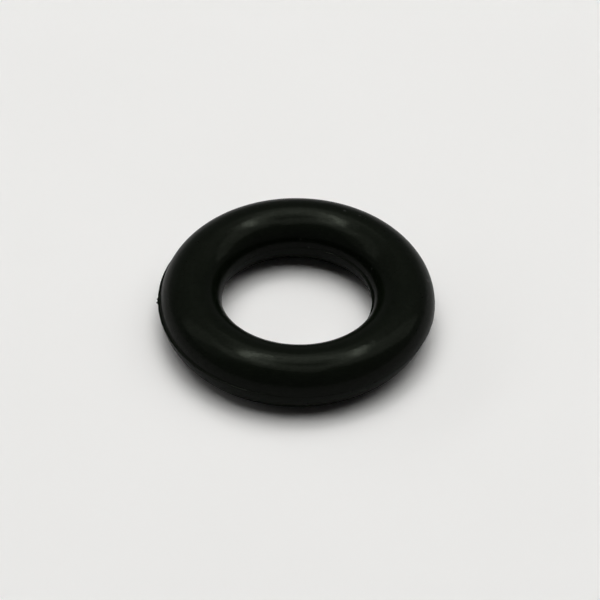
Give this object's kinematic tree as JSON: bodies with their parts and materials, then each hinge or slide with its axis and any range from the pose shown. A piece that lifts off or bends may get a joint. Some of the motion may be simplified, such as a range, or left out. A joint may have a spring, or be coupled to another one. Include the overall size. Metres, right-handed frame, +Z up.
{
  "type": "o-ring",
  "caption": "Round-section rubber sealing ring moulded in one piece, lying flat, with a trimmed parting line at mid height inside and outside.",
  "frame": {"origin": "centre of the ring, on the surface that it lies on", "axes": "+Z up along the ring's axis; X is the direction in which the mould halves are out of register, the lower half towards -X"},
  "size_m": [0.0183, 0.018, 0.004],
  "materials": {
    "rubber": "satin black, as moulded"
  },
  "bodies": {
    "root": {"o_ring": "rubber"}
  },
  "joints": []
}
